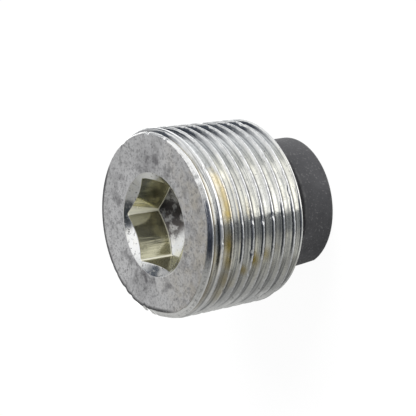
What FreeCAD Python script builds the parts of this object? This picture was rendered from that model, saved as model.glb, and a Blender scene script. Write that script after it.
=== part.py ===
import FreeCAD, Part
import math
import os
from FreeCAD import Vector

# Magnetic drain plug for a taper-threaded port, in millimetres. It stands on the end of its magnet
# with the key socket facing up. Z is the axis of the plug, and the origin lies on it in the plane
# of the magnet's end. The taper thread has its large end at the socket face.

# Threaded body
body_length = 16.8              # socket face to shoulder
crest_radius = 13.45            # of the thread crest, carried up to the plane of the socket face
taper = 1 / 32                  # radius lost for each millimetre along the axis, which is 1:16
face_chamfer = 0.80             # at 45 degrees, round the socket face
lead_chamfer_length = 0.8       # along the axis, on the end that enters the port
lead_chamfer_depth = 0.8        # radial

# Taper thread, right-hand
threads_per_inch = 14
flank_angle = 30.0              # of each flank, from the plane square to the axis
crest_flat = 0.22
exit_angle = 100.0              # round the axis, where the middle of the groove meets the socket face
exit_depth = 0.78               # of the groove, in the plane of the socket face
runout_turns = 1.5              # over which the groove fades towards the socket face

# Hexagon socket
across_flats = 12.0
socket_depth = 5.75             # socket face to the corners of the floor
floor_angle = 120.0             # included angle of the conical floor
countersink_radius = 7.35       # at the socket face
countersink_angle = 110.0       # included

# Spigot and bond line
spigot_radius = 8.0
spigot_length = 2.55            # shoulder to the bond line
spigot_relief = 0.3             # at 45 degrees, in the corner with the shoulder
bond_thickness = 0.15

# Magnet, bonded a little off centre, with the flake that has broken from its lower edge
magnet_radius = 9.2
magnet_length = 5.0
magnet_edge = 0.15              # broken edge at both ends
magnet_offset = 0.15            # of its centre from the axis of the plug
offset_angle = 338.0            # round the axis
chip_angle = 170.0              # round the axis
chip_depth = 0.45               # in from the side, on the end
chip_height = 2.2               # up the side from the end
chip_hollow = 30.0              # radius of the broken surface

# Worked out from the values above
pitch = 25.4 / threads_per_inch
flank_slope = math.tan(math.radians(flank_angle))
groove_depth = (pitch - crest_flat) / 2 / flank_slope
bond_top = magnet_length + bond_thickness
shoulder = bond_top + spigot_length
face = shoulder + body_length
corner_radius = across_flats / 2 / math.cos(math.radians(30))

CENTRE = Vector(0, 0, 0)
UP = Vector(0, 0, 1)


def crest_at(height):
    """Radius of the crest cone at a height."""
    return crest_radius - taper * (face - height)


def turned(*outline):
    """Solid turned about the axis from (radius, height) points that start and end on it."""
    points = [Vector(radius, 0, height) for radius, height in outline]
    return Part.Face(Part.makePolygon(points + points[:1])).revolve(CENTRE, UP, 360)


def blank():
    """Tapered blank, chamfered at both ends, and the spigot that carries the magnet."""
    rim_foot = face - face_chamfer
    lead_top = shoulder + lead_chamfer_length
    return turned(
        (0, face),
        (crest_radius - face_chamfer, face),
        (crest_at(rim_foot), rim_foot),
        (crest_at(lead_top), lead_top),
        (crest_at(lead_top) - lead_chamfer_depth, shoulder),
        (spigot_radius + spigot_relief, shoulder),
        (spigot_radius, shoulder - spigot_relief),
        (spigot_radius, bond_top),
        (0, bond_top),
    )


def groove(start, turns, slope, start_angle):
    """Cutter for the V-groove between the crests, carried up a conical helix.

    It starts at full depth below the crest cone. Outside the crests its sides are
    square, so that one turn never meets the next."""
    overlap = 0.05
    clearance = 0.6
    root = crest_at(start) - groove_depth
    mouth = root + groove_depth + overlap
    half_width = (mouth - root) * flank_slope
    section = [
        Vector(root, 0, 0),
        Vector(mouth, 0, half_width),
        Vector(mouth + clearance, 0, half_width),
        Vector(mouth + clearance, 0, -half_width),
        Vector(mouth, 0, -half_width),
    ]
    helix = Part.makeLongHelix(pitch, turns * pitch, root, math.degrees(math.atan(slope)))
    sweep = Part.BRepOffsetAPI.MakePipeShell(Part.Wire(helix.Edges))
    sweep.setBiNormalMode(UP)
    sweep.add(Part.makePolygon(section + section[:1]))
    sweep.build()
    sweep.makeSolid()
    cutter = sweep.shape()
    cutter.rotate(CENTRE, UP, start_angle)
    cutter.translate(UP * start)
    return cutter


def thread():
    """Cutters for the thread: the full-depth groove, then the turns that fade to the face."""
    runout = runout_turns * pitch
    start = face - runout
    start_angle = exit_angle - 360 * runout_turns
    full_turns = math.ceil((start - shoulder) / pitch) + 1
    fade = taper + (groove_depth - exit_depth) / runout
    return [
        groove(start - full_turns * pitch, full_turns, taper, start_angle),
        groove(start, runout_turns + 1, fade, start_angle),
    ]


def key_socket():
    """Hexagon hole with the punch's conical floor, and the countersink at its mouth."""
    above = face + 1
    floor_slope = math.tan(math.radians(floor_angle / 2))
    tip = face - socket_depth - corner_radius / floor_slope
    corners = []
    for turn in range(7):
        angle = math.radians(60 * turn)
        corners.append(Vector(corner_radius * math.cos(angle), corner_radius * math.sin(angle), tip))
    hexagon = Part.Face(Part.makePolygon(corners)).extrude(UP * (above - tip))
    wide = 2 * corner_radius
    punch = turned((0, above), (wide, above), (wide, tip + wide / floor_slope), (0, tip))
    mouth_slope = math.tan(math.radians(countersink_angle / 2))
    mouth_tip = face - countersink_radius / mouth_slope
    mouth = turned((0, above), ((above - mouth_tip) * mouth_slope, above), (0, mouth_tip))
    return hexagon.common(punch).fuse(mouth)


def plug_body():
    """Plated steel body: the blank with its thread and key socket cut."""
    body = blank()
    for cutter in thread():
        body = body.cut(cutter)
    return body.cut(key_socket())


def bond_line():
    """Film of adhesive between the spigot and the magnet."""
    return turned((0, bond_top), (spigot_radius, bond_top), (spigot_radius, magnet_length), (0, magnet_length))


def magnet():
    """Pressed ferrite disc with both edges broken and a shallow chip in the lower one."""
    end_radius = magnet_radius - magnet_edge
    disc = turned(
        (0, magnet_length),
        (end_radius, magnet_length),
        (magnet_radius, magnet_length - magnet_edge),
        (magnet_radius, magnet_edge),
        (end_radius, 0),
        (0, 0),
    )
    chord = math.hypot(chip_depth, chip_height)
    reach = math.sqrt(chip_hollow ** 2 - (chord / 2) ** 2) / chord
    hollow = Part.makeSphere(
        chip_hollow,
        Vector(
            magnet_radius - chip_depth / 2 + reach * chip_height,
            0,
            chip_height / 2 - reach * chip_depth,
        ),
    )
    hollow.rotate(CENTRE, UP, chip_angle)
    chipped = disc.cut(hollow)
    offset_turn = math.radians(offset_angle)
    chipped.translate(Vector(math.cos(offset_turn), math.sin(offset_turn), 0) * magnet_offset)
    return chipped


if __name__ == "__main__":
    os.makedirs("parts", exist_ok=True)
    for piece in (plug_body, bond_line, magnet):
        piece().exportStep(f"parts/{piece.__name__}.step")
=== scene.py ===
import math

import bpy
import numpy as np
from bpy.props import FloatProperty, FloatVectorProperty, IntProperty, PointerProperty
from mathutils import Matrix, Quaternion, Vector


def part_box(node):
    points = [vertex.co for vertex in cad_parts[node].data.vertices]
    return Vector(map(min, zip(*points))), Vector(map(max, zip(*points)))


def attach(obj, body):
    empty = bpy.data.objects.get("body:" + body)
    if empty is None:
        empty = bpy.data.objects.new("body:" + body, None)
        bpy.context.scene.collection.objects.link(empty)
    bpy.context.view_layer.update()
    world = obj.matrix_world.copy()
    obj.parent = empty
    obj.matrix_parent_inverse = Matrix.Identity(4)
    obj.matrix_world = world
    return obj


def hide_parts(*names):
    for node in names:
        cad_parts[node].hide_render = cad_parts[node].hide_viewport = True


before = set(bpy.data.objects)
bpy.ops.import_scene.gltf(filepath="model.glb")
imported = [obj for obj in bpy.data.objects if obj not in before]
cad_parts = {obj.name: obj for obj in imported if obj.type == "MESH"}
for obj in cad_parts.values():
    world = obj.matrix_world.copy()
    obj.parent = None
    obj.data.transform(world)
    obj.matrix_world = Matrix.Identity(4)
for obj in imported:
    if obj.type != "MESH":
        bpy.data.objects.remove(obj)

bl_info = {
    "name": "Magnetic drain plug",
    "version": (1, 0, 0),
    "blender": (4, 5, 0),
    "location": "View3D > Sidebar > Drain plug",
    "description": "Plated taper-thread drain plug with a hexagon socket and a ferrite magnet",
    "category": "Object",
}

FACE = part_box("plug_body")[1].z
FILM_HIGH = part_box("bond_line")[1]
FILM_TOP = FILM_HIGH.z
MAGNET_LOW, MAGNET_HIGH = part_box("magnet")
MAGNET_TOP = MAGNET_HIGH.z

# Angles of the columns of every grid. Their number is a multiple of six, so that the hexagon's
# corners lie on columns. Points nearer than WELD are one point.
FULL_TURN = 2 * math.pi
COLUMNS = 408
AROUND = np.linspace(0, FULL_TURN, COLUMNS + 1)
WELD = 1e-8


def length(name, default, about):
    """Property for a length in metres."""
    return FloatProperty(name=name, default=default, description=about, unit="LENGTH", precision=6)


def angle(name, degrees, about):
    """Property for an angle, given here in degrees."""
    return FloatProperty(name=name, default=math.radians(degrees), description=about, unit="ROTATION")


def share(name, default, about):
    """Property for a plain number from 0 up."""
    return FloatProperty(name=name, default=default, description=about, min=0.0)


def colour(name, default, about):
    """Property for a linear colour."""
    return FloatVectorProperty(
        name=name, default=default, description=about, subtype="COLOR", size=3, min=0.0, max=1.0
    )


class ThreadSizes(bpy.types.PropertyGroup):
    """Sizes of the taper thread and of the body that carries it."""

    crest_radius: length("Crest radius", 0.01345, "Of the crest cone at the socket face")
    taper: share("Taper", 1 / 32, "Radius lost for each unit of length")
    body_length: length("Body length", 0.0168, "From the socket face to the shoulder")
    pitch: length("Pitch", 0.0254 / 14, "Of the thread")
    flank_angle: angle("Flank angle", 30, "Of each flank from a plane across the axis")
    crest_flat: length("Crest flat", 0.00022, "Width of the flat on the crest")
    exit_angle: angle("Exit angle", 100, "Where the groove meets the socket face")
    exit_depth: length("Exit depth", 0.00078, "Of the groove at the socket face")
    runout_turns: share("Run-out turns", 1.5, "Over which the groove fades")
    face_chamfer: length("Face chamfer", 0.0008, "Round the socket face")
    lead_length: length("Lead chamfer length", 0.0008, "Along the axis, at the shoulder")
    lead_depth: length("Lead chamfer depth", 0.0008, "Radial, at the shoulder")
    spigot_radius: length("Spigot radius", 0.008, "Of the stub that carries the magnet")
    relief: length("Spigot relief", 0.0003, "Between shoulder and spigot")
    edge: length("Edge rounding", 0.00004, "Of the crests and chamfers")
    wear: length("Wear", 0.00004, "Of the uneven crests")
    nick_depth: length("Nick depth", 0.00016, "Of the deepest nicks")
    chip_depth: length("Chip depth", 0.00017, "Of the chips in the crests")
    wander: length("Wander", 0.0002, "Of the last full crest, on one side")
    wander_angle: angle("Wander angle", 272, "Where the crest wanders most")
    wander_reach: angle("Wander reach", 32, "How far round it wanders")


class SocketSizes(bpy.types.PropertyGroup):
    """Sizes of the hexagon socket and its countersink."""

    across_flats: length("Across flats", 0.012, "Of the hexagon")
    depth: length("Depth", 0.00575, "From the socket face to the corners of the floor")
    floor_angle: angle("Floor angle", 120, "Included angle of the conical floor")
    mouth_radius: length("Countersink radius", 0.00735, "Where the countersink meets the face")
    mouth_angle: angle("Countersink angle", 110, "Included")
    corner: length("Corner rounding", 0.0002, "Of the corners between the walls")
    edge: length("Edge rounding", 0.00008, "Of the countersink's edges")
    bruise_depth: length("Bruise depth", 0.0004, "Of the facet that a key has pressed")
    bruise_width: angle("Bruise width", 26, "Of the facet round the axis, at the mouth")
    bruise_angle: angle("Bruise angle", 60, "Of the corner that the facet lies beside")
    rubbed_width: angle("Rubbed width", 15, "Of the rubbed patch beside it")


class MagnetSizes(bpy.types.PropertyGroup):
    """Sizes of the magnet and of the film of adhesive above it."""

    radius: length("Radius", (MAGNET_HIGH.y - MAGNET_LOW.y) / 2, "Of the magnet")
    offset: length("Offset", 0.00015, "Of the magnet's centre from the axis")
    offset_angle: angle("Offset angle", 338, "Direction of the offset round the axis")
    edge: length("Broken edge", 0.00015, "At both ends")
    film_radius: length("Film radius", FILM_HIGH.x, "Of the adhesive")
    film_hollow: length("Film hollow", 0.00003, "In the adhesive's side")
    chip_angle: angle("Chip angle", 170, "Place of the chip round the magnet")
    chip_depth: length("Chip depth", 0.00045, "In from the side, on the end")
    chip_height: length("Chip height", 0.0022, "Up the side from the end")
    chip_hollow: length("Chip hollow", 0.030, "Radius of the broken surface")


class FinishColours(bpy.types.PropertyGroup):
    """Colours of the plating, its deposits, the magnet and the adhesive."""

    plating: colour("Plating", (0.88, 0.885, 0.88), "Bright zinc of the flanks")
    face: colour("Face", (0.69, 0.69, 0.695), "Dull zinc of the socket face")
    face_dark: colour("Face, dark", (0.24, 0.235, 0.245), "Blotches on the socket face")
    face_warm: colour("Face, warm", (0.56, 0.52, 0.44), "Brownish side of the face")
    socket: colour("Socket", (0.80, 0.78, 0.58), "Zinc of the socket walls")
    tint: colour("Tint", (0.92, 0.90, 0.80), "Yellow cast in patches of the plating")
    gold: colour("Gold", (0.96, 0.70, 0.15), "Golden deposit on the flanks")
    olive: colour("Olive", (0.50, 0.39, 0.13), "Olive-brown deposit on the flanks")
    # Dirt and specks. The same colour is also laid as painted shade in the thread's roots.
    dirt_and_root_shade: colour("Dirt", (0.075, 0.075, 0.08), "Specks and dirt in the roots")
    rust: colour("Rust", (0.42, 0.34, 0.20), "Brownish root of the first groove")
    magnet: colour("Magnet", (0.030, 0.030, 0.033), "Pressed ferrite")
    film: colour("Adhesive", (0.12, 0.085, 0.06), "Set adhesive")


class StageSettings(bpy.types.PropertyGroup):
    """Camera, floor and light."""

    azimuth: angle("Azimuth", -12.72, "Of the camera; 0 looks along +Y")
    elevation: angle("Elevation", 35.235, "Of the camera above the horizon")
    roll: angle("Roll", 99.10, "Of the camera, to its right")
    distance: length("Distance", 0.42571, "From the camera to its aim")
    aim: FloatVectorProperty(
        name="Aim", default=(0.001372, 0.000991, 0.014047), description="Point on the optical axis",
        subtype="TRANSLATION", size=3
    )
    lens: FloatProperty(name="Lens", default=261.65, description="On a 36 mm sensor", unit="CAMERA")
    floor_size: length("Floor size", 3.0, "Side of the floor")
    tent_radius: length("Tent radius", 1.4, "Of the light tent")
    tent_level: share("Tent level", 0.62, "Brightness of the tent's plain cloth")
    paper_level: share("Paper level", 1.65, "Brightness of the paper below")
    floor_glow: share("Floor glow", 0.94, "Share of its own white in the floor")
    fill: share("Fill", 0.45, "Strength of the world on matt surfaces")
    lamp_size: length("Lamp size", 0.5, "Side of each lamp")
    key_power: FloatProperty(name="Key power", default=10.5, description="Of the key lamp", unit="POWER")
    side_share: share("Side share", 0.15, "Of the key lamp's power")
    seed: IntProperty(name="Seed", default=14, description="Of the nicks")


GROUPS = {
    "plug_thread": ThreadSizes,
    "plug_socket": SocketSizes,
    "plug_magnet": MagnetSizes,
    "plug_finish": FinishColours,
    "plug_stage": StageSettings,
}


def soft_lesser(a, b, width):
    """The lesser of a and b, rounded where they cross: (a + b - sqrt((a - b)^2 + width^2)) / 2."""
    return (a + b - np.sqrt((a - b) ** 2 + width ** 2)) / 2


def smooth_step(low, high, value):
    """0 below low, 1 above high, and 3t^2 - 2t^3 of the share t between."""
    t = np.clip((value - low) / (high - low), 0, 1)
    return t * t * (3 - 2 * t)


def polar_grid(radius, height, angles=AROUND):
    """Points (r cos a, r sin a, z) of a grid whose columns run round the axis."""
    radius, height, angles = np.broadcast_arrays(radius, height, angles)
    return np.stack([radius * np.cos(angles), radius * np.sin(angles), height], axis=-1)


def grid_quads(rows, columns, first=0):
    """Corner numbers of the quads between the neighbouring points of a grid."""
    index = first + np.arange(rows * columns).reshape(rows, columns)
    corners = [index[:-1, :-1], index[1:, :-1], index[1:, 1:], index[:-1, 1:]]
    return np.stack(corners, axis=-1).reshape(-1, 4)


class Skin:
    """Grids of points gathered into one closed mesh, with a set of masks for each point."""

    def __init__(self, masks):
        self.masks = masks
        self.points, self.values, self.quads = [], [], []
        self.count = 0

    def add(self, grid, **masks):
        """Adds a grid. Its quads face outwards if the rows run from the socket's floor to the tail."""
        rows, columns = grid.shape[:2]
        self.quads.append(grid_quads(rows, columns, self.count))
        self.points.append(grid.reshape(-1, 3))
        values = np.zeros((rows, columns, len(self.masks)))
        for mask, value in masks.items():
            values[..., self.masks.index(mask)] = value
        self.values.append(values.reshape(rows * columns, -1))
        self.count += rows * columns

    def mesh(self, name):
        """Welds equal points, drops the sides that this closes, and makes the mesh."""
        points = np.concatenate(self.points)
        values = np.concatenate(self.values)
        quads = np.concatenate(self.quads)
        keys = np.round(points / WELD).astype(np.int64)
        _, first, place = np.unique(keys, axis=0, return_index=True, return_inverse=True)
        quads = place.reshape(-1)[quads]
        same = quads == np.roll(quads, -1, axis=1)
        whole = quads[~same.any(axis=1)]
        three = quads[same.sum(axis=1) == 1]
        triangles = three[three != np.roll(three, -1, axis=1)].reshape(-1, 3)
        faces = whole.tolist() + triangles.tolist()
        mesh = bpy.data.meshes.new(name)
        mesh.from_pydata(points[first].tolist(), [], faces)
        mesh.validate()
        for column, mask in enumerate(self.masks):
            layer = mesh.attributes.new(mask, "FLOAT", "POINT")
            layer.data.foreach_set("value", values[first, column].astype(np.float32))
        mesh.shade_smooth()
        return mesh


def rounded_legs(corners, cuts, steps):
    """Rows of radii, heights and leg numbers, along straight legs between corner points. Each inner
    corner is rounded by the quadratic curve (1-t)^2 A + 2t(1-t) C + t^2 B, where A and B lie a cut's
    length from corner C."""
    corners = [np.stack(np.broadcast_arrays(r, z, AROUND)[:2], axis=-1) for r, z in corners]
    legs = [b - a for a, b in zip(corners, corners[1:])]
    ways = [leg / np.maximum(np.linalg.norm(leg, axis=-1, keepdims=True), 1e-12) for leg in legs]
    rows, owner = [], []
    for leg, way in enumerate(ways):
        start = corners[leg] + way * cuts[leg]
        end = corners[leg + 1] - way * cuts[leg + 1]
        for t in np.linspace(0, 1, steps[leg] + 1):
            rows.append(start + (end - start) * t)
            owner.append(leg)
        if cuts[leg + 1] > 0:
            after = corners[leg + 1] + ways[leg + 1] * cuts[leg + 1]
            for t in (0.25, 0.5, 0.75):
                rows.append((1 - t) ** 2 * end + 2 * t * (1 - t) * corners[leg + 1] + t * t * after)
                owner.append(leg + t)
    return *np.moveaxis(np.stack(rows), -1, 0), np.array(owner, float)[:, None]


def crest_cone(thread, z):
    """Radius of the cone through the crests, less by the taper for each unit below the face."""
    return thread.crest_radius - thread.taper * (FACE - z)


def turn_from(middle):
    """Turn of each column from a middle angle, the short way round."""
    return np.angle(np.exp(1j * (AROUND - middle)))


def bell(middle, width):
    """exp(-(turn / width)^2) of each column's turn from a middle angle."""
    return np.exp(-(turn_from(middle) / width) ** 2)


def wandered(thread, z):
    """How far the thread lies below its true helix: a bell round one angle, near the face."""
    near_face = smooth_step(3.0, 1.2, (FACE - z) / thread.pitch)
    return thread.wander * bell(thread.wander_angle, thread.wander_reach) * near_face


def groove_turns(thread, z):
    """Turns of the thread from the face down to a height, a whole number in the middle of the groove."""
    height = z - FACE + wandered(thread, z)
    return height / thread.pitch - (AROUND - thread.exit_angle) / FULL_TURN


def groove_phase(thread, z):
    """Place across the thread, 0 in the middle of the groove and half on the crest."""
    turns = groove_turns(thread, z)
    return turns - np.round(turns)


def body_radius(thread, seed, z):
    """Radius of the body's outside: the least of the worn crest cone, the groove's flanks, which rise
    from the root by 1 / tan(flank angle), and the two chamfers, rounded where they cross. The groove
    is shallower towards the face."""
    slope = math.tan(thread.flank_angle)
    depth = (thread.pitch - thread.crest_flat) / 2 / slope
    runout = thread.runout_turns * thread.pitch
    across = groove_phase(thread, z) * thread.pitch
    middle = z - across
    fade = (depth - thread.exit_depth) / runout
    root = crest_cone(thread, middle) - depth + fade * np.maximum(middle - (FACE - runout), 0)
    flank = root + np.sqrt(across ** 2 + thread.edge ** 2) / slope
    shoulder = FACE - thread.body_length
    lead_foot = crest_cone(thread, shoulder + thread.lead_length) - thread.lead_depth
    lead = lead_foot + (z - shoulder) * thread.lead_depth / thread.lead_length
    radius = crest_cone(thread, z) - crest_wear(thread, seed, z)
    for other in (flank, lead, rim_cone(thread, seed, z)):
        radius = soft_lesser(radius, other, thread.edge)
    return radius


def rim_cone(thread, seed, z):
    """Radius of the chamfer round the face, which grows as fast as the depth, less its wear."""
    return thread.crest_radius - thread.face_chamfer + (FACE - z) - rim_wear(thread, seed)


# Chips in the crests, each as (degrees round the axis, metres below the face).
CHIPS = ((249.2, 0.00905), (251.3, 0.01085), (250.2, 0.00746), (241.0, 0.00218), (230.6, 0.00732))

# Unevenness along the thread: the turns that it covers and its steps in a turn. Number of nicks.
WORN_TURNS = 13
STEPS_A_TURN = 240
NICKS = 150


def crest_wear(thread, seed, z):
    """Depth taken off the crest cone: noise along the helix, nicks exp(-(distance / length)^2) at
    random places on it, and the round chips."""
    draw = np.random.default_rng(seed)
    along = AROUND / FULL_TURN + np.floor(groove_turns(thread, z))
    knots = draw.random(WORN_TURNS * STEPS_A_TURN)
    wear = thread.wear * np.interp((along + WORN_TURNS - 1) * STEPS_A_TURN, np.arange(len(knots)), knots)
    circumference = FULL_TURN * thread.crest_radius
    nicks = zip(draw.uniform(-10, 0.5, NICKS), draw.uniform(0.0001, 0.0005, NICKS), draw.random(NICKS))
    for turn, size, deep in nicks:
        distance = (along - turn) * circumference
        wear += thread.nick_depth * deep ** 3 * np.exp(-(distance / size) ** 2)
    for turn, below in CHIPS:
        aside = turn_from(math.radians(turn)) * thread.crest_radius
        apart = np.hypot(aside, FACE - z - below)
        wear += thread.chip_depth * np.exp(-(apart / thread.chip_depth) ** 2 / 2)
    return wear


# Broad worn stretches of the rim, each as (degrees round the axis, depth in metres, reach in degrees),
# and its knocks, each row as (from and to in degrees, number).
WORN_RIM = ((226, 0.0003, 24), (157, 0.00048, 17))
KNOCKED_RIM = ((96, 160, 9), (0, 360, 8))


def rim_wear(thread, seed):
    """Depth taken off the rim's chamfer by worn stretches and knocks, all bell-shaped."""
    draw = np.random.default_rng(seed + 1)
    wear = 0 * AROUND
    for turn, deep, reach in WORN_RIM:
        wear += deep * bell(*np.radians((turn, reach)))
    turns = np.radians(np.concatenate([draw.uniform(*row) for row in KNOCKED_RIM]))
    sizes, shares = draw.uniform(0.00015, 0.0005, len(turns)), draw.uniform(0.3, 1.0, len(turns))
    for turn, size, deep in zip(turns, sizes, shares):
        wear += thread.nick_depth * deep * bell(turn, size / thread.crest_radius)
    return wear


def hexagon_radius(socket):
    """Radius of the hexagon with corners on the X axis: half the width over the cosine of the angle
    from the nearer flat's middle, rounded where two flats meet."""
    sixth = FULL_TURN / 6
    from_corner = np.abs((AROUND + sixth / 2) % sixth - sixth / 2)
    near = socket.across_flats / 2 / np.cos(sixth / 2 - from_corner)
    far = socket.across_flats / 2 / np.cos(sixth / 2 + from_corner)
    return soft_lesser(near, far, socket.corner)


def floor_slope(socket):
    """Rise of the conical floor for each unit out from the axis: 1 / tan(half its angle)."""
    return 1 / math.tan(socket.floor_angle / 2)


def floor_tip(socket):
    """Height of the floor's tip: the height of its corners less the rise from the axis to them."""
    corner = socket.across_flats / 2 / math.cos(math.radians(30))
    return FACE - socket.depth - corner * floor_slope(socket)


# Where the socket's marks begin below the face, the share of its depth that the rubbed patch covers,
# and the height of a deposit as a share of the pitch.
FACET_TOP = 0.0010
RUBBED_TOP = 0.0008
RUBBED_SHARE = 0.62
DEPOSIT_HEIGHT = 0.24


def bruise(socket, z):
    """Share of the facet's depth: a ramp from the corner, sharp at its far side, which narrows and
    fades towards the floor."""
    up = np.clip((z - FACE + socket.depth) / (socket.depth - FACET_TOP), 0, 1)
    across = (socket.bruise_angle - AROUND) / (socket.bruise_width * np.maximum(up, 0.05))
    ramp = smooth_step(0.0, 0.35, across) * smooth_step(1.0, 0.85, across)
    return ramp * up


def rubbed(socket, z):
    """1 inside a quarter of an ellipse on the corner's other side, from the mouth to two thirds of
    the depth."""
    across = (AROUND - socket.bruise_angle) / socket.rubbed_width
    down = (FACE - RUBBED_TOP - z) / (RUBBED_SHARE * socket.depth)
    return smooth_step(1.06, 0.94, np.hypot(across, np.maximum(down, 0))) * (across >= 0)


# Width of the face's strip beside its rim, which carries painted shade on one side, and rows across
# half a turn of thread, as shares of the pitch from the middle of the groove. Depths over which the bare
# crests and rim fade.
RIM_STRIP = 0.0007
ROWS_ACROSS = (0.465, 0.44, 0.41, 0.33, 0.24, 0.15, 0.06)
CREST_FADE = (0.00007, 0.00002)
RIM_FADE = (0.00006, 0.00001)


def body_skin(thread, socket, seed):
    """The body as three joined grids round the axis: socket and face, thread, and tail. The thread's
    rows run along its helix, so that each keeps its place across the groove."""
    skin = Skin((
        "face_land", "mouth", "socket", "floor", "bruise", "rubbed", "rim", "crest", "flank", "gold", "olive"
    ))

    mouth_slope = 1 / math.tan(socket.mouth_angle / 2)
    hexagon = hexagon_radius(socket)
    shoulder = FACE - thread.body_length
    tip = floor_tip(socket)
    rim = body_radius(thread, seed, FACE)
    profile = [
        (0, tip),
        (hexagon, tip + hexagon * floor_slope(socket)),
        (hexagon, FACE - (socket.mouth_radius - hexagon) * mouth_slope),
        (socket.mouth_radius, FACE), (rim - RIM_STRIP, FACE), (rim, FACE),
    ]
    cut = socket.edge
    radius, z, leg = rounded_legs(profile, (0, cut, cut, cut, 0, 0), (10, 30, 4, 13, 4))
    on_wall = (leg >= 1) & (leg < 1.4)
    pressed = bruise(socket, z) * on_wall
    skin.add(
        polar_grid(radius + socket.bruise_depth * pressed, z),
        floor=leg < 0.5,
        socket=on_wall,
        bruise=pressed,
        rubbed=rubbed(socket, z) * on_wall,
        rim=smooth_step(0.8 * RIM_STRIP, 0.3 * RIM_STRIP, rim - radius) * (leg > 2.9),
        mouth=(leg > 1.4) & (leg < 2.6),
        face_land=leg > 2.4,
    )

    turns = math.ceil(thread.body_length / thread.pitch) + 2
    phases = (*ROWS_ACROSS, 0.0, *(-each for each in reversed(ROWS_ACROSS)), -0.5)
    steps = (np.arange(2, -turns, -1)[:, None] + phases).reshape(-1, 1)
    z = FACE + thread.pitch * (steps + (AROUND - thread.exit_angle) / FULL_TURN)
    z = np.clip(z - wandered(thread, z), shoulder, FACE)
    radius = body_radius(thread, seed, z)
    skin.add(
        polar_grid(radius, z),
        crest=smooth_step(*CREST_FADE, crest_cone(thread, z) - radius),
        flank=2 * np.abs(groove_phase(thread, z)),
        rim=smooth_step(*RIM_FADE, rim_cone(thread, seed, z) - radius),
        gold=deposits(thread, z, GOLD),
        olive=deposits(thread, z, OLIVE),
    )

    profile = [
        (body_radius(thread, seed, shoulder), shoulder),
        (thread.spigot_radius + thread.relief, shoulder),
        (thread.spigot_radius, shoulder - thread.relief),
        (thread.spigot_radius, FILM_TOP), (0, FILM_TOP),
    ]
    radius, z, _ = rounded_legs(profile, (0, 0, 0, 0, 0), (4, 1, 3, 3))
    skin.add(polar_grid(radius, z), flank=0.6)
    return skin.mesh("steel_body")


# Deposits on the flanks, each as (degrees round the axis, metres below the face, reach in degrees
# along the thread, strength).
GOLD = (
    (279, 0.0034, 8, 0.45), (268, 0.0035, 9, 0.75), (262, 0.0036, 7, 0.9),
    (257, 0.0036, 5, 1.0), (262, 0.0053, 9, 0.3), (255, 0.0071, 8, 0.25),
)
OLIVE = (
    (238, 0.0035, 9, 1.0), (226, 0.0036, 8, 0.9), (214, 0.0037, 9, 0.75), (203, 0.0038, 8, 0.4),
    (232, 0.0016, 10, 0.4), (217, 0.0069, 4, 1.0), (223, 0.0086, 5, 1.1), (226, 0.0105, 5, 0.8),
    (228, 0.0118, 5, 0.4), (205, 0.0052, 8, 0.35),
)


def deposits(thread, z, places):
    """Deposits as bell shapes drawn out along the thread."""
    mask = 0 * z
    for turn, below, reach, strength in places:
        off = np.degrees(turn_from(math.radians(turn)))
        level = (FACE - z - below + off / 360 * thread.pitch) / (DEPOSIT_HEIGHT * thread.pitch)
        mask = np.maximum(mask, strength * np.exp(-(off / reach) ** 2 - level ** 2))
    return mask


def magnet_skin(magnet):
    """Disc turned about the axis with both edges broken. Under the chip its radius is the lesser of
    the disc's and that of the broken sphere, and the end is cut back with it."""
    rim = magnet.radius - magnet.edge
    profile = [
        (0, MAGNET_TOP), (rim, MAGNET_TOP), (magnet.radius, MAGNET_TOP - magnet.edge),
        (magnet.radius, magnet.edge), (rim, 0), (0, 0),
    ]
    cut = magnet.edge * 0.4
    radius, z, _ = rounded_legs(profile, (0, cut, cut, cut, cut, 0), (8, 2, 40, 2, 12))
    radius = np.minimum(radius, chip_radius(magnet, z))
    skin = Skin(("edge_wear",))
    side = smooth_step(magnet.radius - 2 * magnet.edge, magnet.radius, radius)
    ends = np.minimum(z, MAGNET_TOP - z)
    grid = polar_grid(radius, z)
    grid[..., 0] += magnet.offset * math.cos(magnet.offset_angle)
    grid[..., 1] += magnet.offset * math.sin(magnet.offset_angle)
    skin.add(grid, edge_wear=side * smooth_step(3 * magnet.edge, 0, ends))
    return skin.mesh("magnet_disc")


def chip_radius(magnet, z):
    """Distance from the axis to the broken sphere, along a ray at each angle and height: the nearer
    root of |ray - centre| = hollow, or far away where the ray misses."""
    chord = math.hypot(magnet.chip_depth, magnet.chip_height)
    reach = math.sqrt(magnet.chip_hollow ** 2 - (chord / 2) ** 2) / chord
    out = magnet.radius - magnet.chip_depth / 2 + reach * magnet.chip_height
    up = magnet.chip_height / 2 - reach * magnet.chip_depth
    turn = AROUND - magnet.chip_angle
    along = out * np.cos(turn)
    inside = magnet.chip_hollow ** 2 - (z - up) ** 2 - (out * np.sin(turn)) ** 2
    hit = (inside > 0) & (np.cos(turn) > 0)
    return np.where(hit, along - np.sqrt(np.maximum(inside, 0)), 1.0)


def film_skin(magnet):
    """Film of adhesive turned about the axis between spigot and magnet, its side a shallow hollow."""
    profile = [
        (0, FILM_TOP), (magnet.film_radius, FILM_TOP),
        (magnet.film_radius - magnet.film_hollow, (FILM_TOP + MAGNET_TOP) / 2),
        (magnet.film_radius, MAGNET_TOP), (0, MAGNET_TOP),
    ]
    radius, z, _ = rounded_legs(profile, (0, 0, 0, 0, 0), (2, 1, 1, 2))
    skin = Skin(())
    skin.add(polar_grid(radius, z))
    return skin.mesh("adhesive_film")


def fill(node, inputs):
    """Fills a node's inputs by name or number, or links them where a value comes from a node."""
    for key, value in inputs.items():
        value = getattr(value, "socket", value)
        if isinstance(value, bpy.types.NodeSocket):
            node.id_data.links.new(value, node.inputs[key])
        else:
            node.inputs[key].default_value = value


def place(tree, kind, inputs=None, **settings):
    """Adds a shader node, sets its properties and fills its inputs."""
    made = tree.nodes.new("ShaderNode" + kind)
    for name, value in settings.items():
        setattr(made, name, value)
    fill(made, inputs or {})
    return made


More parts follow.
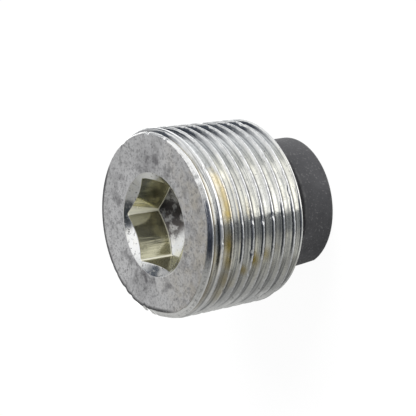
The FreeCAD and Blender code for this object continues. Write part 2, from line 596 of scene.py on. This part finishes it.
class Value:
    """A node's output to calculate with: each operation adds the node that does it to the same tree."""

    def __init__(self, socket):
        self.socket = socket
        self.tree = socket.id_data

    def math(self, operation, *values, kind="Math", output=0):
        """Math node with this value first."""
        made = place(self.tree, kind, dict(enumerate((self, *values))), operation=operation)
        return Value(made.outputs[output])

    def vector(self, operation, output, *values):
        """Vector Math node with this value first."""
        return self.math(operation, *values, kind="VectorMath", output=output)

    def __add__(self, other):
        return self.math("ADD", other)

    def __sub__(self, other):
        return self.math("SUBTRACT", other)

    def __mul__(self, other):
        return self.math("MULTIPLY", other)

    def either(self, other):
        """The greater of two masks."""
        return self.math("MAXIMUM", other)

    def but(self, other):
        """This mask where another one isn't: its product with 1 less the other."""
        return self * (other * -1.0 + 1.0)

    def ramp(self, low, high, to_low=0.0, to_high=1.0):
        """Smooth way from one number, where this value is low, to another, where it is high."""
        inputs = {"Value": self, "From Min": low, "From Max": high, "To Min": to_low, "To Max": to_high}
        made = place(self.tree, "MapRange", inputs, interpolation_type="SMOOTHSTEP")
        return Value(made.outputs["Result"])

    def along(self, way):
        """How far a point lies along a direction."""
        return self.vector("DOT_PRODUCT", "Value", way)

    def near(self, middle, reach):
        """1 at a point in Object coordinates, falling smoothly to 0 at a distance."""
        return self.vector("DISTANCE", "Value", middle).ramp(reach, 0.0)

    def stretched(self, factors):
        """Point with each coordinate times a factor, which draws a pattern out where it is small."""
        return self.vector("MULTIPLY", "Vector", factors)

    def parts(self):
        """The three coordinates of a point."""
        return [Value(each) for each in place(self.tree, "SeparateXYZ", {0: self}).outputs]

    def mask(self, name):
        """One of the mesh's masks at this point."""
        return Value(place(self.tree, "Attribute", attribute_name=name).outputs["Fac"])

    def through(self, group, **inputs):
        """What a node group gives at this point."""
        made = place(self.tree, "Group", {"Vector": self, **inputs}, node_tree=group)
        return Value(made.outputs[0])

    def mottle(self, scale, low, high):
        """Soft blotches at a scale."""
        return self.through(mottle_group(), Scale=scale, Low=low, High=high)

    def grain(self, scale, strength, depth):
        """Normal of an uneven surface."""
        return self.through(grain_group(), Scale=scale, Strength=strength, Depth=depth)


def noise_of(where, scale, detail, roughness=0.5):
    """Plain noise at a scale."""
    inputs = {"Vector": where, "Scale": scale, "Detail": detail, "Roughness": roughness}
    return Value(place(where.tree, "TexNoise", inputs).outputs["Fac"])


def point_of(x, y, z=0.0):
    """Point from three coordinates."""
    return Value(place(x.tree, "CombineXYZ", {0: x, 1: y, 2: z}).outputs[0])


def laid(under, mask, over):
    """Colour over laid on colour under by a mask. A colour is three numbers or comes from a node."""
    under, over = (each if isinstance(each, Value) else (*each, 1.0) for each in (under, over))
    made = place(mask.tree, "Mix", {0: mask, 6: under, 7: over}, data_type="RGBA")
    return Value(made.outputs[2])


def layered(base, *layers):
    """Colour of a base under layers, each as (mask, colour), laid on it one after another."""
    for mask, over in layers:
        base = laid(base, mask, over)
    return base


def mixed(under, mask, over):
    """Number between two numbers by a mask."""
    return Value(place(mask.tree, "Mix", {0: mask, 2: under, 3: over}).outputs[0])


def group_of(name, inputs, output, kind, lay_out):
    """Makes a shader node group once, with a Vector input, number inputs with their defaults, and one
    output that carries what lay_out gives."""
    made = bpy.data.node_groups.get(name)
    if made is None:
        made = bpy.data.node_groups.new(name, "ShaderNodeTree")
        made.interface.new_socket(name="Vector", in_out="INPUT", socket_type="NodeSocketVector")
        for socket, value in inputs.items():
            new = made.interface.new_socket(name=socket, in_out="INPUT", socket_type="NodeSocketFloat")
            new.default_value = value
        made.interface.new_socket(name=output, in_out="OUTPUT", socket_type=kind)
        enter = made.nodes.new("NodeGroupInput").outputs
        carried = lay_out({socket: Value(enter[socket]) for socket in ("Vector", *inputs)})
        fill(made.nodes.new("NodeGroupOutput"), {output: carried})
    return made


def mottle_group():
    """Soft blotches: noise between two thresholds."""

    def lay_out(given):
        return noise_of(given["Vector"], given["Scale"], 5.0, 0.6).ramp(given["Low"], given["High"])

    inputs = {"Scale": 500.0, "Low": 0.45, "High": 0.65}
    return group_of("mottle", inputs, "Mask", "NodeSocketFloat", lay_out)


def grain_group():
    """Uneven surface: coarse noise and a third as much fine noise as height, put out as a normal."""

    def lay_out(given):
        coarse = noise_of(given["Vector"], given["Scale"], 3.0)
        fine = noise_of(given["Vector"], given["Scale"] * 3.7, 2.0)
        bump = {"Strength": given["Strength"], "Distance": given["Depth"], "Height": fine * 0.35 + coarse}
        return place(coarse.tree, "Bump", bump).outputs["Normal"]

    inputs = {"Scale": 900.0, "Strength": 0.3, "Depth": 0.0001}
    return group_of("grain", inputs, "Normal", "NodeSocketVector", lay_out)


def new_material(name):
    """Material with an empty tree, its Principled shader and its Object coordinates."""
    material = bpy.data.materials.new(name)
    tree = emptied(material)
    shader = place(tree, "BsdfPrincipled")
    place(tree, "OutputMaterial", {"Surface": shader.outputs[0]})
    return material, shader, Value(place(tree, "TexCoord").outputs["Object"])


def emptied(owner):
    """Node tree of a material or world, with nothing in it."""
    owner.use_nodes = True
    owner.node_tree.nodes.clear()
    return owner.node_tree


def glow_of(tree, tone=(1.0, 1.0, 1.0, 1.0)):
    """Shader that shines in a colour."""
    return place(tree, "Emission", {"Color": tone, "Strength": 1.0}).outputs[0]


def plating_material(finish, socket):
    """Zinc plating: bright on the flanks, dull and blotched on the face, olive in the socket."""
    material, shader, where = new_material("zinc_plating")
    on_face, on_walls = where.mask("face_land"), where.mask("socket")
    on_cones = where.mask("floor").either(where.mask("mouth"))
    base, rough, height = thread_finish(where, finish)
    *walls, matt = socket_finish(where, finish, socket)
    face, cones = face_finish(where, finish), cone_finish(where, finish)
    for mask, (its_base, its_rough, its_height) in ((on_face, face), (on_walls, walls), (on_cones, cones)):
        base = laid(base, mask, its_base)
        rough = mixed(rough, mask, its_rough)
        height = mixed(height, mask, its_height)
    grain = where.grain(1500, 0.5, 0.000012)
    bump = {"Strength": 0.8, "Distance": 0.000010, "Height": height, "Normal": grain}
    fill(shader, {
        "Base Color": base,
        "Roughness": rough,
        "Metallic": matt * on_walls * -1.0 + 1.0,
        "Normal": place(where.tree, "Bump", bump).outputs["Normal"],
    })
    return material


# Tones of the marks in the finishes, as linear colours.
STREAK = (0.50, 0.51, 0.52)
SCORE = (0.30, 0.31, 0.32)
BAND = (0.40, 0.41, 0.42)
SMUDGE = (0.34, 0.34, 0.33)
BARE_RIM = (0.96, 0.96, 0.95)
BARE_CREST = (0.88, 0.88, 0.88)
BEAD = (0.26, 0.265, 0.27)
# Painted shade on the crests near the upper and lower outlines.
CREST_PAINTED_SHADE = (0.42, 0.43, 0.44)
# Painted shade: black in the roots on the lower side.
ROOT_SHADE_BLACK = (0.02, 0.02, 0.022)
FACE_CLOUD = (0.82, 0.82, 0.83)
FACE_PALE = (0.86, 0.86, 0.865)
SCRATCH = (0.82, 0.82, 0.82)
BARE_FACE = (0.86, 0.86, 0.86)
# Painted shade: a dark line at the rim on one side of the face.
RIM_PAINTED_SHADE = (0.05, 0.05, 0.055)
DRAWN = (0.34, 0.32, 0.20)
WALL_PALE = (0.86, 0.83, 0.62)
WALL_STAIN = (0.14, 0.13, 0.08)
WALL_SHADE = (0.12, 0.13, 0.10)
RUBBED = (0.80, 0.78, 0.56)
# Burnished metal of the pressed facet, partly painted highlight.
PRESSED_AND_HIGHLIGHT = (0.90, 0.87, 0.62)
# Painted highlight along the walls' feet and the hexagon's corners.
PAINTED_EDGE_HIGHLIGHT = (0.92, 0.91, 0.80)
# Darker tone on one side of the socket's floor.
FLOOR_DARK_TONE = (0.07, 0.06, 0.055)
FERRITE_CLOUD = (0.062, 0.062, 0.065)
FERRITE_SPECK = (0.17, 0.17, 0.17)
FERRITE_EDGE = (0.16, 0.16, 0.16)
FILM_CLOUD = (0.25, 0.19, 0.13)

# Directions across the axis that marks and painted shade are placed along, the two stained places on the
# face, and the middle of the painted shade on one socket wall.
FRONT = (-0.31, -0.95, 0.0)
LOWER = (-1.0, 0.1, 0.0)
UPPER = (0.95, -0.31, 0.0)
WARM_SIDE = (-0.55, -0.83, 0.0)
FAR_SIDE = (-0.55, 0.83, 0.0)
# Side of the face whose rim carries the painted shade.
RIM_SHADE_SIDE = (-0.21, 0.98, 0.0)
# Side of the socket's floor that is made darker.
FLOOR_DARK_SIDE = (0.93, 0.35, 0.0)
STAINED = ((0.0081, -0.0029, FACE), (-0.0062, 0.0066, FACE))
SHADED_WALL = (0.0052, 0.0030, FACE - 0.0024)


# Each of the next four gives the colour, roughness and height of a finish, and the socket's gives its
# mattness too.
def thread_finish(where, finish):
    """Thread: streaks and scored lines along it, a yellow cast in patches, golden and olive deposits,
    roots darkened by dirt and by painted shade, the shade wider and black on the lower side, painted
    shade on the crests near the upper and lower outlines, and bare, beaded crests."""
    crest, flank, bare = where.mask("crest"), where.mask("flank"), where.mask("rim")
    gold, olive = where.mask("gold"), where.mask("olive")
    x, y, z = where.parts()
    streak_at = point_of(x * 0.10, y * 0.10, z * 0.45 + flank * 0.0006)
    streaks = streak_at.mottle(1700, 0.42, 0.58)
    bands = streak_at.mottle(620, 0.40, 0.62)
    yellow = streak_at.mottle(760, 0.36, 0.56) * where.along(FRONT).ramp(0.0072, 0.0100)
    smudge = where.mottle(700, 0.56, 0.70)
    pits = where.mottle(2900, 0.60, 0.68)
    wave = flank * 2.3 + noise_of(streak_at, 420, 2.0) * 1.6
    lines = (wave * math.pi).math("SINE").math("ABSOLUTE").ramp(0.62, 0.15)
    lower, upper = where.along(LOWER), where.along(UPPER)
    near_face = z.ramp(FACE - 0.0045, FACE - 0.0020)
    beads = where.mottle(2400, 0.46, 0.58) * flank.ramp(0.72, 0.95)
    # Painted shade: the roots are darkened over a wider band on the lower side.
    lower_root_shade = flank.ramp(0.60, 0.22) * lower.ramp(0.008, 0.012)
    # The roots are darkened by dirt and by painted shade, less so near the face.
    root_dirt_and_shade = lower_root_shade.either(flank.ramp(0.30, 0.08)) * (near_face * -0.35 + 0.82)
    # Painted shade: black in the deepest part of the roots on the lower side.
    lower_root_black_shade = flank.ramp(0.20, 0.10) * lower.ramp(0.006, 0.010)
    # Painted shade: the crests' highlights are toned down near the upper and lower outlines.
    crest_shade_sides = upper.ramp(0.0080, 0.0115).either(lower.ramp(0.0121, 0.0131))

    colours = layered(
        finish.plating,
        (yellow * flank.ramp(1.0, 0.6, 0.0, 0.6), finish.tint),
        (streaks * 0.40, STREAK),
        (lines * (bands * 0.38 + 0.42), SCORE),
        (bands * 0.18, BAND),
        (smudge * 0.18, SMUDGE),
        (bare * 0.75, BARE_RIM),
        (pits * 0.45, finish.dirt_and_root_shade),
        (streaks * -0.25 + gold, finish.gold),
        (streaks * -0.20 + olive, finish.olive),
        # Dirt and painted shade in the roots, rust-brown near the face.
        (root_dirt_and_shade.but(bare), laid(finish.dirt_and_root_shade, near_face, finish.rust)),
        # Painted shade, black, in the roots on the lower side.
        (lower_root_black_shade * 0.8, ROOT_SHADE_BLACK),
        (crest * 0.45, BARE_CREST),
        (beads * 0.40, BEAD),
        # Painted shade on the crests near the upper and lower outlines.
        (crest * crest_shade_sides * 0.55, CREST_PAINTED_SHADE),
    )
    rough = streaks * 0.08 + gold.either(olive) * 0.20 + smudge * 0.12 + 0.085
    return colours, rough, lines * -0.8 + streaks


def face_finish(where, finish):
    """Socket face: clouds, blotches, specks, scratches, a brownish side, and painted shade as a dark line at
    the rim on one side.
    """
    x, y, _ = where.parts()
    near_socket = point_of(x, y).vector("LENGTH", "Value").ramp(0.0112, 0.0082)
    cloud = where.mottle(330, 0.36, 0.64)
    blotch = where.mottle(1500, 0.50, 0.66)
    patch = where.mottle(520, 0.48, 0.66)
    specks = where.mottle(3900, 0.50, 0.68)
    bright = where.mottle(4300, 0.60, 0.70)
    turned = Value(place(where.tree, "VectorRotate", {"Vector": where, "Angle": 0.7}).outputs[0])
    scratches = turned.stretched((1.0, 0.07, 1.0)).mottle(2600, 0.62, 0.70)
    stained = where.near(STAINED[0], 0.0045).either(where.near(STAINED[1], 0.0040))
    # Painted shade: a dark line along the rim on one side.
    line = where.mask("rim") * where.along(RIM_SHADE_SIDE).ramp(0.0025, 0.0060)

    colours = layered(
        finish.face,
        (cloud * 0.55, FACE_CLOUD),
        (where.along(FAR_SIDE).ramp(-0.004, 0.012) * 0.45, FACE_PALE),
        (where.along(WARM_SIDE).ramp(-0.001, 0.010) * cloud * 0.75, finish.face_warm),
        (patch * (near_socket * 0.46 + stained * 0.45 + 0.26), finish.face_dark),
        (stained * 0.38, finish.face_dark),
        (blotch * 0.52, finish.face_dark),
        (specks * 0.50, finish.dirt_and_root_shade),
        (bright * 0.35, BARE_FACE),
        (scratches * 0.20, SCRATCH),
        # Painted shade at the rim, broken by bright specks.
        (line * (bright * -0.8 + 0.85), RIM_PAINTED_SHADE),
    )
    return colours, cloud * -0.08 + 0.50, specks * 0.6 + blotch


def socket_finish(where, finish, socket):
    """Socket walls: drawn marks, stains, painted shade on one wall, painted highlights along the walls' feet
    and corners, a bright pressed facet that is partly burnished and partly painted highlight, and a rubbed
    patch.
    """
    pressed, polished = where.mask("bruise"), where.mask("rubbed")
    x, y, z = where.parts()
    out = point_of(x, y).vector("LENGTH", "Value")
    foot = (z - floor_tip(socket) - out * floor_slope(socket)).ramp(0.00032, 0.00012)
    corner = out.ramp(0.00675, 0.00682)
    drawn_at = where.stretched((1.0, 1.0, 0.10))
    drawn = drawn_at.mottle(1200, 0.36, 0.62)
    wide = drawn_at.mottle(480, 0.44, 0.58)
    stains = where.mottle(900, 0.52, 0.68)
    # The pressed facet: burnished metal that is partly painted highlight, pale and more matt.
    pressed_fan_and_highlight = pressed.ramp(0.02, 0.25) * (drawn * -0.5 + 0.95)
    # Painted highlight: the walls' feet and corners are made pale and matt, like edges that catch light.
    painted_highlight = foot.either(corner) * 0.7

    colours = layered(
        finish.socket,
        (drawn * 0.40, DRAWN),
        (wide * 0.35, WALL_PALE),
        (stains * 0.50, WALL_STAIN),
        (where.near(SHADED_WALL, 0.0052) * (wide * -0.5 + 0.85), WALL_SHADE),
        (polished * 0.65, RUBBED),
        # Pressed facet: burnished metal and painted highlight.
        (pressed_fan_and_highlight, PRESSED_AND_HIGHLIGHT),
        # Painted highlight along the feet and corners.
        (painted_highlight, PAINTED_EDGE_HIGHLIGHT),
    )
    matt = painted_highlight.either(pressed_fan_and_highlight * 0.55).either(polished * 0.20 + 0.06)
    return colours, stains * 0.10 + pressed * 0.14 + 0.10, drawn, matt


def cone_finish(where, finish):
    """Countersink and conical floor: bright, with pits, and darker on one side of the floor."""
    # The floor is darker towards one side, broken up by the cloud.
    floor_darkening = where.along(FLOOR_DARK_SIDE).ramp(-0.0005, 0.0018) * where.mask("floor")
    pits = where.mottle(2000, 0.58, 0.68)
    cloud = where.mottle(800, 0.46, 0.60)
    broken_floor_darkening = floor_darkening * (cloud * -0.45 + 0.95)
    marks = ((cloud * 0.25, finish.tint), (pits * 0.55, finish.dirt_and_root_shade), (broken_floor_darkening, FLOOR_DARK_TONE))
    return layered(finish.plating, *marks), floor_darkening * 0.10 + 0.16, pits + floor_darkening * cloud


def magnet_material(finish):
    """Pressed ferrite: matt and dark, with fine grain, faint blotches and paler worn edges."""
    material, shader, where = new_material("pressed_ferrite")
    cloud = where.mottle(350, 0.35, 0.70)
    colours = layered(
        finish.magnet,
        (cloud * 0.5, FERRITE_CLOUD),
        (where.mottle(3000, 0.57, 0.66) * 0.35, FERRITE_SPECK),
        (where.mask("edge_wear") * cloud * 0.5, FERRITE_EDGE),
    )
    grain = where.grain(2200, 0.5, 0.00008)
    fill(shader, {"Base Color": colours, "Roughness": cloud * 0.12 + 0.62, "Normal": grain})
    shader.inputs["Specular IOR Level"].default_value = 0.35
    return material


def film_material(finish):
    """Set adhesive: brown, glossier where it is thick, with small bubbles."""
    material, shader, where = new_material("set_adhesive")
    cloud = where.mottle(900, 0.40, 0.62)
    colours = laid(finish.film, cloud, FILM_CLOUD)
    grain = where.grain(1800, 0.4, 0.00005)
    fill(shader, {"Base Color": colours, "Roughness": cloud * 0.25 + 0.35, "Normal": grain})
    return material


def linked(name, data):
    """New object with its data, linked to the scene."""
    made = bpy.data.objects.new(name, data)
    bpy.context.scene.collection.objects.link(made)
    return made


def add_piece(mesh, material, node):
    """Links a mesh as a piece that rides on the part and stands for one of its nodes."""
    if not outward(mesh):
        mesh.flip_normals()
    mesh.materials.append(material)
    piece = linked(mesh.name, mesh)
    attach(piece, "root")
    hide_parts(node)


def outward(mesh):
    """True if the mesh's faces point outwards, by the sign of its volume."""
    mesh.calc_loop_triangles()
    corners = np.empty(len(mesh.loop_triangles) * 3, np.int32)
    mesh.loop_triangles.foreach_get("vertices", corners)
    points = np.empty(len(mesh.vertices) * 3)
    mesh.vertices.foreach_get("co", points)
    a, b, c = points.reshape(-1, 3)[corners].reshape(-1, 3, 3).transpose(1, 0, 2)
    return float(np.einsum("ij,ij->", a, np.cross(b, c))) > 0


class DRAINPLUG_OT_steel_body(bpy.types.Operator):
    """Make the threaded steel body with its hexagon socket and spigot"""

    bl_idname = "drainplug.steel_body"
    bl_label = "Steel body"

    def execute(self, context):
        scene = context.scene
        mesh = body_skin(scene.plug_thread, scene.plug_socket, scene.plug_stage.seed)
        material = plating_material(scene.plug_finish, scene.plug_socket)
        add_piece(mesh, material, "plug_body")
        return {"FINISHED"}


class DRAINPLUG_OT_adhesive_film(bpy.types.Operator):
    """Make the film of adhesive between the spigot and the magnet"""

    bl_idname = "drainplug.adhesive_film"
    bl_label = "Adhesive film"

    def execute(self, context):
        material = film_material(context.scene.plug_finish)
        add_piece(film_skin(context.scene.plug_magnet), material, "bond_line")
        return {"FINISHED"}


class DRAINPLUG_OT_magnet_disc(bpy.types.Operator):
    """Make the magnet disc with its broken edges and its chip"""

    bl_idname = "drainplug.magnet_disc"
    bl_label = "Magnet disc"

    def execute(self, context):
        material = magnet_material(context.scene.plug_finish)
        add_piece(magnet_skin(context.scene.plug_magnet), material, "magnet")
        return {"FINISHED"}


def add_camera(stage):
    """Camera on a sphere round the aim point, turned about its own axis by the roll."""
    flat = math.cos(stage.elevation)
    back = Vector((
        math.sin(stage.azimuth) * flat, -math.cos(stage.azimuth) * flat, math.sin(stage.elevation)
    ))
    turned = back.to_track_quat("Z", "Y") @ Quaternion((0, 0, 1), -stage.roll)
    data = bpy.data.cameras.new("camera")
    data.lens, data.sensor_width = stage.lens, 36.0
    data.clip_start, data.clip_end = 0.01, 10.0
    camera = linked("camera", data)
    camera.matrix_world = Matrix.LocRotScale(Vector(stage.aim) + back * stage.distance, turned, None)
    bpy.context.scene.camera = camera


# Cards in the tent, each as (azimuth, elevation, half width, half height, edge, colour). The first
# four are in degrees, from +X and the horizon. The edge is the share of the card over which it
# fades. A later card covers an earlier one.
CARDS = (
    (-10, 38, 43, 36, 0.15, (1.0, 1.0, 1.0)), (12, 54, 18, 13, 0.30, (0.80, 0.81, 0.82)),
    (24, 42, 12, 9, 0.50, (0.34, 0.35, 0.37)), (35, 33, 14, 12, 0.22, (0.07, 0.08, 0.10)),
    (44, 9, 11, 8, 0.30, (0.42, 0.42, 0.43)), (-128, 53, 46, 31, 0.12, (0.11, 0.12, 0.15)),
    (-158, 46, 24, 13, 0.30, (0.03, 0.035, 0.05)), (150, 50, 42, 34, 0.40, (0.33, 0.33, 0.32)),
    (104, 14, 16, 14, 0.30, (0.15, 0.15, 0.15)), (-160, 67, 40, 14, 0.10, (0.03, 0.035, 0.04)),
    (-52, 72, 55, 8, 0.12, (1.05, 1.05, 1.05)), (-5, -8, 46, 22, 0.05, (0.92, 0.94, 0.96)),
    (20, 0, 16, 10, 0.50, (0.17, 0.18, 0.20)), (125, -20, 34, 46, 0.20, (0.50, 0.50, 0.49)),
    (-171, -20, 42, 46, 0.20, (0.42, 0.42, 0.415)), (-158, -20, 16, 46, 0.30, (0.60, 0.605, 0.60)),
    (-125, -14, 13, 36, 0.20, (0.27, 0.285, 0.31)),
)


def tent_colours(directions, stage):
    """Colour of the tent in each direction: white paper below, plain cloth above, and the cards,
    each a superellipse |x|^4 + |y|^4 = 1 of azimuth and elevation with a soft edge."""
    azimuth = np.degrees(np.arctan2(directions[..., 1], directions[..., 0]))
    elevation = np.degrees(np.arcsin(np.clip(directions[..., 2], -1, 1)))
    above = smooth_step(-3, 3, elevation)[..., None]
    colours = stage.paper_level * (1 - above) + stage.tent_level * above * np.ones(3)
    for turn, height, wide, high, edge, tone in CARDS:
        u = ((azimuth - turn + 180) % 360 - 180) / wide
        v = (elevation - height) / high
        cover = smooth_step(1 + edge, 1 - edge, (u ** 4 + v ** 4) ** 0.25)[..., None]
        colours = colours * (1 - cover) + np.array(tone) * cover
    return colours


def add_tent(stage):
    """Tent round the part with its cards, seen only in reflections."""
    around = np.linspace(0, FULL_TURN, 361)[None, :]
    up = np.linspace(-math.pi / 2, math.pi / 2, 241)[:, None]
    directions = polar_grid(np.cos(up), np.sin(up), around)
    mesh = bpy.data.meshes.new("light_tent")
    rows, columns = directions.shape[:2]
    points = (directions * stage.tent_radius).reshape(-1, 3)
    mesh.from_pydata(points.tolist(), [], grid_quads(rows, columns).tolist())
    layer = mesh.attributes.new("cloth", "FLOAT_COLOR", "POINT")
    tones = np.ones((rows * columns, 4), np.float32)
    tones[:, :3] = tent_colours(directions, stage).reshape(-1, 3)
    layer.data.foreach_set("color", tones.ravel())
    material = bpy.data.materials.new("tent_cloth")
    tree = emptied(material)
    cloth = place(tree, "Attribute", attribute_name="cloth").outputs["Color"]
    place(tree, "OutputMaterial", {"Surface": glow_of(tree, cloth)})
    mesh.materials.append(material)
    tent = linked("light_tent", mesh)
    tent.visible_camera = tent.visible_diffuse = tent.visible_shadow = tent.visible_transmission = False


def add_floor(stage):
    """Pale floor that partly shines to the camera and keeps the shadow."""
    half = stage.floor_size / 2
    mesh = bpy.data.meshes.new("floor")
    corners = [(-half, -half, 0), (half, -half, 0), (half, half, 0), (-half, half, 0)]
    mesh.from_pydata(corners, [], [(0, 1, 2, 3)])
    material = bpy.data.materials.new("floor_paper")
    tree = emptied(material)
    paper = place(tree, "BsdfDiffuse", {"Color": (0.92, 0.92, 0.92, 1.0)})
    seen = Value(place(tree, "LightPath").outputs["Is Camera Ray"])
    shaders = {0: seen * stage.floor_glow, 1: paper.outputs[0], 2: glow_of(tree)}
    mix = place(tree, "MixShader", shaders)
    place(tree, "OutputMaterial", {"Surface": mix.outputs[0]})
    mesh.materials.append(material)
    floor = linked("floor", mesh)
    floor.visible_glossy = False


# What the lamps point at, and where they stand.
PART_MIDDLE = Vector((0, 0, 0.01))
KEY_PLACE = (0.45, -0.35, 0.55)
SIDE_PLACE = (-0.50, -0.20, 0.40)


def add_lamp(name, place_at, size, power):
    """Square area lamp that points at the part and isn't seen in reflections."""
    data = bpy.data.lights.new(name, "AREA")
    data.shape, data.size, data.energy = "SQUARE", size, power
    lamp = linked(name, data)
    lamp.location = place_at
    lamp.rotation_euler = (Vector(place_at) - PART_MIDDLE).to_track_quat("Z", "Y").to_euler()
    lamp.visible_glossy = False


def add_world(level):
    """White world for the camera, reflections and glass, and a plain fill for matt surfaces."""
    world = bpy.data.worlds.new("studio")
    bpy.context.scene.world = world
    tree = emptied(world)
    path = place(tree, "LightPath").outputs
    seen = Value(path["Is Camera Ray"]).either(path["Is Glossy Ray"]).either(path["Is Transmission Ray"])
    inputs = {"Color": (1.0, 1.0, 1.0, 1.0), "Strength": mixed(level, seen, 1.0)}
    sky = place(tree, "Background", inputs)
    place(tree, "OutputWorld", {"Surface": sky.outputs[0]})


class DRAINPLUG_OT_stage(bpy.types.Operator):
    """Make the floor, the light tent, the lamps, the world and the camera"""

    bl_idname = "drainplug.stage"
    bl_label = "Stage"

    def execute(self, context):
        scene = context.scene
        stage = scene.plug_stage
        scene.view_settings.view_transform = "Standard"
        add_camera(stage)
        add_floor(stage)
        add_tent(stage)
        add_world(stage.fill)
        add_lamp("key_lamp", KEY_PLACE, stage.lamp_size, stage.key_power)
        add_lamp("side_lamp", SIDE_PLACE, stage.lamp_size, stage.key_power * stage.side_share)
        return {"FINISHED"}


PIECES = (DRAINPLUG_OT_steel_body, DRAINPLUG_OT_adhesive_film, DRAINPLUG_OT_magnet_disc, DRAINPLUG_OT_stage)


class DRAINPLUG_PT_panel(bpy.types.Panel):
    """Lists the pieces and the values they are made from"""

    bl_idname = "DRAINPLUG_PT_panel"
    bl_label = "Drain plug"
    bl_space_type = "VIEW_3D"
    bl_region_type = "UI"
    bl_category = "Drain plug"

    def draw(self, context):
        for operator in PIECES:
            self.layout.operator(operator.bl_idname)
        for name, kind in GROUPS.items():
            box = self.layout.box()
            box.label(text=kind.__name__)
            for value in kind.__annotations__:
                box.prop(getattr(context.scene, name), value)


CLASSES = (*GROUPS.values(), *PIECES, DRAINPLUG_PT_panel)


def register():
    for each in CLASSES:
        bpy.utils.register_class(each)
    for name, kind in GROUPS.items():
        setattr(bpy.types.Scene, name, PointerProperty(type=kind))


def unregister():
    for name in GROUPS:
        delattr(bpy.types.Scene, name)
    for each in reversed(CLASSES):
        bpy.utils.unregister_class(each)


def main():
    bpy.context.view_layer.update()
    register()
    bpy.ops.drainplug.steel_body()
    bpy.ops.drainplug.adhesive_film()
    bpy.ops.drainplug.magnet_disc()
    bpy.ops.drainplug.stage()


if __name__ == "__main__":
    main()
